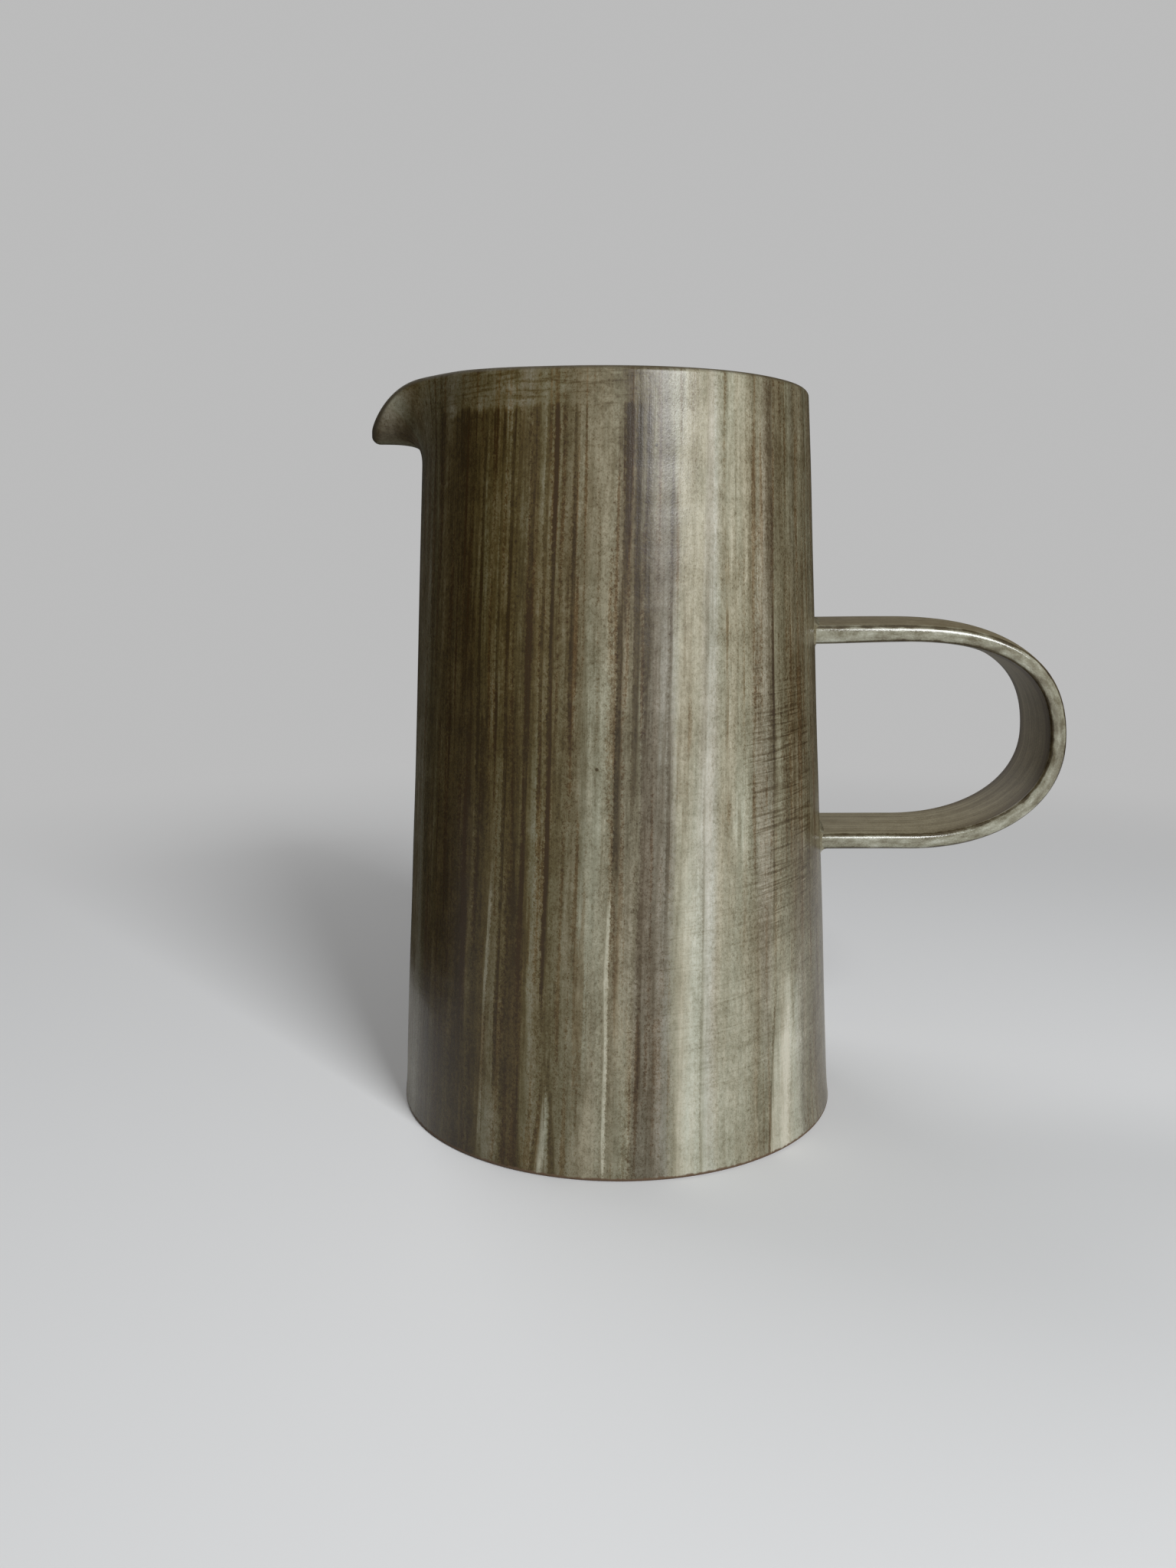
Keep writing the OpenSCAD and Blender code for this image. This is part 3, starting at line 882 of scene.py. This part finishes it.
# Handle
# A strap of clay, cut with rounded edges and a crowned back, bent into a loop and luted on at both ends.
# The glaze ran off its four long corners, which fired dark.
handle_drop = 61.7 * mm
handle_h = 63.1 * mm
handle_out = 68.2 * mm
nose_lift = -1.7 * mm
upper_arm = 24 * mm
lower_arm = 24 * mm
strap_w = 26.5 * mm
strap_t = 4.6 * mm
strap_crown = 1.1 * mm
strap_belly = 0.4 * mm
strap_edge_r = 1.3 * mm
strap_edge_steps = 6
strap_slope = 0.047
strap_root = 2.2 * mm
upper_bend = 0.688
lower_bend = 0.598
upper_z = body_h - handle_drop - strap_t / 2
lower_z = body_h - handle_drop - handle_h + strap_t / 2
nose = Vector((0, (upper_z + lower_z) / 2 + nose_lift))
nose.x = wall_r(nose.y) + handle_out - strap_t / 2
upper_turn = Vector((wall_r(upper_z) + upper_arm, upper_z))
lower_turn = Vector((wall_r(lower_z) + lower_arm, lower_z))
upper_root = Vector((wall_r(upper_z) - strap_root, upper_z))
lower_root = Vector((wall_r(lower_z) - strap_root, lower_z))

# The line of the loop, drawn flat: each point, the way it runs there, and its pull before and after
loop_points = (
    (upper_root, Vector((1, 0)), upper_arm / 3, upper_arm / 3),
    (upper_turn, Vector((1, 0)), upper_arm / 3, upper_bend * (nose.x - upper_turn.x)),
    (nose, Vector((0, -1)), upper_bend * (upper_z - nose.y), lower_bend * (nose.y - lower_z)),
    (lower_turn, Vector((-1, 0)), lower_bend * (nose.x - lower_turn.x), lower_arm / 3),
    (lower_root, Vector((-1, 0)), lower_arm / 3, lower_arm / 3),
)
bpy.ops.object.select_all(action="DESELECT")
bpy.ops.curve.primitive_bezier_curve_add()
loop = bpy.context.object
loop.data.dimensions = "2D"
loop.data.resolution_u = 64
line = loop.data.splines[0]
line.bezier_points.add(len(loop_points) - 2)
for point, (place, way, before, after) in zip(line.bezier_points, loop_points):
    point.handle_left_type = "FREE"
    point.handle_right_type = "FREE"
    point.co = (*place, 0)
    point.handle_left = (*(place - before * way), 0)
    point.handle_right = (*(place + after * way), 0)
strap_length = line.calc_length()

bpy.ops.object.select_all(action="DESELECT")
bpy.ops.mesh.primitive_cube_add(size=1)
strap = bpy.context.object
strap.name = "strap_handle"
bpy.ops.object.mode_set(mode="EDIT")
bpy.ops.mesh.select_all(action="SELECT")
bpy.ops.transform.resize(value=(strap_length, strap_t, strap_w))
bpy.ops.transform.translate(value=(strap_length / 2, 0, 0))


def runs_along(axis, least):
    """A test for straight edges along one axis that are longer than a length."""
    def test(edge):
        run = edge.verts[0].co - edge.verts[1].co
        return abs(run[axis]) > least and abs(run[axis]) > 0.999 * run.length
    return test


select(strap, "EDGE", runs_along(0, mm))
round_off(strap_edge_r, strap_edge_steps, "EDGES")
across_cuts = 15
thick_cuts = 3
along_cuts = 199
for axis, least, cuts in ((2, strap_w / 2, across_cuts), (1, strap_t / 4, thick_cuts), (0, mm, along_cuts)):
    select(strap, "EDGE", runs_along(axis, least))
    bpy.ops.mesh.subdivide(number_cuts=cuts)
bpy.ops.object.mode_set(mode="OBJECT")

# The straight strap is crowned and thickened at its upper root, wanders a little, and is then bent
root_swell = 0.55 * mm
root_swell_reach = 20 * mm
edge_crown = 0.35 * mm
thick_wander = 0.22 * mm
side_wander = 0.35 * mm
on_face = 0.9 * strap_t / 2
runs = strap.data.attributes.new("strap_run", "FLOAT_VECTOR", "POINT")
for vert, run in zip(strap.data.vertices, runs.data):
    along, thick, across = vert.co
    run.vector = vert.co
    crowning = max(1 - (across / (strap_w / 2 - strap_edge_r)) ** 2, 0)
    if thick > on_face:
        thick += strap_crown * crowning
    elif thick < -on_face:
        thick -= strap_belly * crowning
    if abs(across) > strap_w / 2 - strap_edge_r:
        across += math.copysign(edge_crown * (1 - (thick / (strap_t / 2)) ** 2), across)
    if thick < 0:
        thick -= root_swell * math.exp(-(along / root_swell_reach) ** 2)
    drift = Vector((along / (38 * mm), 0, across / (60 * mm)))
    thick += thick_wander * noise.noise(drift)
    across += side_wander * noise.noise(drift + Vector((0, 7, 0)))
    vert.co = (along, thick, across)
use_modifier(strap, "CURVE", object=loop, deform_axis="POS_X")
bpy.data.objects.remove(loop)
take_up(strap)
strap.rotation_euler = (math.pi / 2, 0, 0)
bpy.ops.object.transform_apply(location=True, rotation=True, scale=True)
for vert in strap.data.vertices:
    vert.co.z += strap_slope * vert.co.y
face_outwards()
smooth(strap, 40)

# Tints of the glaze on the faces of the strap and on its edges
face_tint = (1.07, 1.0, 0.92, 1)
edge_tint = (0.96, 1.0, 1.06, 1)


def strap_glaze(name):
    """Glaze brushed along the strap, mottled on its edges and broken dark on its corners."""
    glaze, tree = new_finish(name)
    run = feed(tree, "ShaderNodeAttribute", attribute_name="strap_run").node.outputs["Vector"]
    along, thick, across = split(tree, run)
    side = calc(tree, "ABSOLUTE", across)
    streak = grain(tree, run, (45 * mm, 1.1 * mm, 1.3 * mm), 2.0)
    mottle = grain(tree, run, (4 * mm, 1.5 * mm, 3 * mm), 3.0, 3.3)
    patch = grain(tree, run, (11 * mm, 9 * mm, 9 * mm), 2.0, 6.1)
    specks = grain(tree, run, (0.50 * mm, 0.40 * mm, 0.40 * mm), 2.0)
    on_edge = ease(tree, side, 11.9 * mm, 12.9 * mm)
    # The inner face is darker at its sides in the bend, and paler along the lower arm
    back = ease(tree, thick, 0.5 * mm, 1.5 * mm)
    belly = calc(tree, "SUBTRACT", 1.0, back)
    in_bend = times(tree, belly, near(tree, along, strap_length / 2, 60 * mm, 34 * mm))
    toward_strap_sides = ease(tree, add_up(tree, side, (streak, 0.7 * mm), (mottle, 0.6 * mm)), 7.0 * mm, 12.2 * mm)
    lower_face = times(tree, belly, ease(tree, along, strap_length - 64 * mm, strap_length - 40 * mm))
    streaked = times(tree, streak, mixed(tree, back, 0.13, 0.08))
    face_tone = add_up(
        tree, 0.46, (back, -0.03), (streaked, 1.0), (mottle, 0.05),
        (times(tree, in_bend, toward_strap_sides), -0.26), (lower_face, 0.09),
    )
    at_nose = near(tree, along, strap_length / 2, 26 * mm, 8 * mm)
    edge_tone = add_up(tree, 0.57, (mottle, 0.20), (streak, 0.06), (patch, 0.09), (at_nose, -0.10))
    tone = add_up(tree, mixed(tree, on_edge, face_tone, edge_tone), (specks, 0.08))
    # The four long corners
    corner_u = calc(tree, "SUBTRACT", side, strap_w / 2 - 0.3 * strap_edge_r)
    corner_v = calc(tree, "SUBTRACT", calc(tree, "ABSOLUTE", thick), strap_t / 2 - 0.3 * strap_edge_r)
    off_corner = measure(tree, "LENGTH", feed(tree, "ShaderNodeCombineXYZ", corner_u, corner_v, 0.0))
    ragged_corner = add_up(tree, off_corner, (mottle, 0.16 * mm), (patch, 0.14 * mm))
    worn = ease(tree, ragged_corner, 0.56 * mm, 0.22 * mm)
    tone = calc(tree, "MULTIPLY_ADD", worn, -0.34, tone)
    tint = tinted(tree, on_edge, face_tint, edge_tint)
    colour = tinted(tree, 1.0, glaze_colour(tree, tone), tint, "MULTIPLY")
    roughness = add_up(tree, mixed(tree, on_edge, 0.58, 0.16), (specks, 0.04), (mottle, 0.02))
    height = add_up(tree, 0.5, (streak, 0.12), (specks, 0.10), (mottle, 0.05))
    fire(tree, colour, roughness, height, 0.55, gloss=0.5)
    return glaze


strap.data.materials.append(strap_glaze("handle_glaze"))
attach(strap, "root")
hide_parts("handle_strap")

# Collars
# A thin coil of soft clay pressed into the corner round each root of the handle and smoothed to a fillet.
# Both are glazed over with the wall.
collar_leg = 1.6 * mm
collar_sunk = 0.3 * mm
fillet_steps = 6
corner_steps = 5
face_steps = 14


def strap_outline():
    """Outline of the strap's section, anticlockwise from its +Y edge: across it, and out of the loop."""
    outline = []
    corner_across = strap_w / 2 - strap_edge_r
    corner_thick = strap_t / 2 - strap_edge_r
    for quarter in range(4):
        side_across = 1 if quarter in (0, 3) else -1
        side_thick = 1 if quarter in (0, 1) else -1
        for step in range(corner_steps + 1):
            turn = math.pi / 2 * (quarter + step / corner_steps)
            outline.append(Vector((
                side_across * corner_across + strap_edge_r * math.cos(turn),
                side_thick * corner_thick + strap_edge_r * math.sin(turn),
            )))
        if quarter in (0, 2):
            bulge = strap_crown if quarter == 0 else strap_belly
            for step in range(1, face_steps):
                across = side_across * corner_across * (1 - 2 * step / face_steps)
                crowning = 1 - (across / corner_across) ** 2
                outline.append(Vector((across, side_thick * (strap_t / 2 + bulge * crowning))))
    return outline


collar_glaze = plain_glaze("collar_glaze", 0.46, 0.15)


def collar(name, node, arm_z, up):
    """One collar: a ring of clay whose section is a fillet between the strap and the wall."""
    outline = strap_outline()
    fillet = [(-collar_sunk, -collar_sunk), (-collar_sunk, collar_leg), (0.0, collar_leg)]
    for step in range(1, fillet_steps):
        turn = math.pi / 2 * step / fillet_steps
        fillet.append((collar_leg * (1 - math.cos(turn)), collar_leg * (1 - math.sin(turn))))
    fillet += [(collar_leg, 0.0), (collar_leg, -collar_sunk)]
    bpy.ops.object.select_all(action="DESELECT")
    bpy.ops.mesh.primitive_torus_add(major_segments=len(outline), minor_segments=len(fillet),
                                     major_radius=strap_w / 2, minor_radius=collar_leg)
    piece = bpy.context.object
    piece.name = name
    for index, vert in enumerate(piece.data.vertices):
        around, step = divmod(index, len(fillet))
        run = outline[(around + 1) % len(outline)] - outline[around - 1]
        outward = Vector((run.y, -run.x)).normalized()
        off, rise = fillet[step]
        across, thick = outline[around] + off * outward
        z = arm_z + up * thick + strap_slope * across
        seat = wall_r(z) + unevenness(math.asin(across / wall_r(z)), z)
        vert.co = (math.sqrt(seat * seat - across * across) + rise, across, z)
    face_outwards()
    smooth(piece, 50)
    piece.data.materials.append(collar_glaze)
    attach(piece, "root")
    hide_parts(node)


collar("upper_root_collar", "upper_handle_collar", upper_z, 1)
collar("lower_root_collar", "lower_handle_collar", lower_z, -1)

# Stage
# A plain pale floor that fades into a pale background. A large soft lamp stands at the front right and a
# weaker one hangs behind. Black cards at the sides, out of sight, keep the reflections in the glaze dark.
floor_size = 8
floor_white = 0.80
backdrop = 0.50
fade_from = 0.22
fade_to = 0.65
mirrored_fade = 0.45


def in_sight(tree):
    """1 for what the camera sees, also by reflection, and 0 for what only lights the jug."""
    sight = tree.nodes.new("ShaderNodeLightPath").outputs
    mirrored = calc(tree, "MAXIMUM", sight["Is Glossy Ray"], sight["Is Transmission Ray"])
    return calc(tree, "MAXIMUM", sight["Is Camera Ray"], mirrored)


bpy.ops.object.select_all(action="DESELECT")
bpy.ops.mesh.primitive_plane_add(size=floor_size, location=(0, 0, 0))
floor = bpy.context.object
floor.name = "floor"
paper, tree = new_finish("paper")
matt = tree.nodes["Principled BSDF"]
matt.inputs["Base Color"].default_value = (floor_white, floor_white, floor_white, 1)
matt.inputs["Roughness"].default_value = 1.0
matt.inputs["Specular IOR Level"].default_value = 0.0
direct = tree.nodes.new("ShaderNodeLightPath").outputs["Is Camera Ray"]
far = times(tree, measure(tree, "LENGTH", on_piece(tree)), mixed(tree, direct, mirrored_fade, 1.0))
faded = times(tree, ease(tree, far, fade_from, fade_to), in_sight(tree))
glow = tree.nodes.new("ShaderNodeEmission")
glow.inputs["Color"].default_value = (backdrop, backdrop, backdrop, 1)
both = feed(tree, "ShaderNodeMixShader", faded, matt.outputs[0], glow.outputs[0])
tree.links.new(both, tree.nodes["Material Output"].inputs["Surface"])
floor.data.materials.append(paper)


def soft_lamp(place, aim_z, wide, high, watts, colour):
    """A rectangular lamp that shines on the jug's axis at a height."""
    bpy.ops.object.select_all(action="DESELECT")
    bpy.ops.object.light_add(type="AREA", location=place)
    lamp = bpy.context.object
    lamp.data.shape = "RECTANGLE"
    lamp.data.size = wide
    lamp.data.size_y = high
    lamp.data.energy = watts
    lamp.data.color = colour
    lamp.rotation_euler = (Vector((0, 0, aim_z)) - lamp.location).to_track_quat("-Z", "Y").to_euler()


soft_lamp((0.50, -0.945, 0.61), 0.11, 0.40, 0.50, 15, (0.96, 0.98, 1.0))
soft_lamp((-0.42, 0.48, 0.85), 0.10, 0.60, 0.50, 3, (1.0, 1.0, 1.0))

# The black cards: angle from the front in degrees, distance from the axis and width in metres
cards = ((-102, 0.9, 2.0), (-120, 0.15, 0.22), (130, 0.5, 0.7))
card_h = 1.1
black, tree = new_finish("black_card")
tree.nodes["Principled BSDF"].inputs["Base Color"].default_value = (0.02, 0.02, 0.02, 1)
tree.nodes["Principled BSDF"].inputs["Roughness"].default_value = 0.9
for card_turn, card_far, card_w in cards:
    turn = math.radians(card_turn)
    bpy.ops.object.select_all(action="DESELECT")
    bpy.ops.mesh.primitive_plane_add(size=1)
    card = bpy.context.object
    card.name = "card"
    card.scale = (card_w, card_h, 1)
    card.rotation_euler = (math.pi / 2, 0, turn)
    card.location = (card_far * math.sin(turn), -card_far * math.cos(turn), card_h / 2)
    card.visible_camera = False
    card.visible_diffuse = False
    card.visible_shadow = False
    card.data.materials.append(black)

# The air round the stage: pale where it is seen, and dim as a light
air_light = 0.08
world = bpy.data.worlds.new("studio")
bpy.context.scene.world = world
world.use_nodes = True
tree = world.node_tree
air = tree.nodes["Background"]
air.inputs["Color"].default_value = (1, 1, 1, 1)
tree.links.new(mixed(tree, in_sight(tree), air_light, backdrop), air.inputs["Strength"])

# Camera
# A wide lens, a forearm's length from the jug and three quarters of the way up it, the spout to its left.
# It looks down a little, and the picture is shown without a film's own contrast.
eye = (-8.2 * mm, -352 * mm, 152.2 * mm)
look_down = 9.76
look_aside = -0.24
bpy.ops.object.select_all(action="DESELECT")
bpy.ops.object.camera_add(location=eye)
camera = bpy.context.object
camera.data.lens = 28.125
camera.data.sensor_width = 36
camera.data.clip_start = 10 * mm
camera.rotation_mode = "ZXY"
camera.rotation_euler = (math.radians(90 - look_down), 0, math.radians(look_aside))
bpy.context.scene.camera = camera
bpy.context.scene.view_settings.view_transform = "Standard"
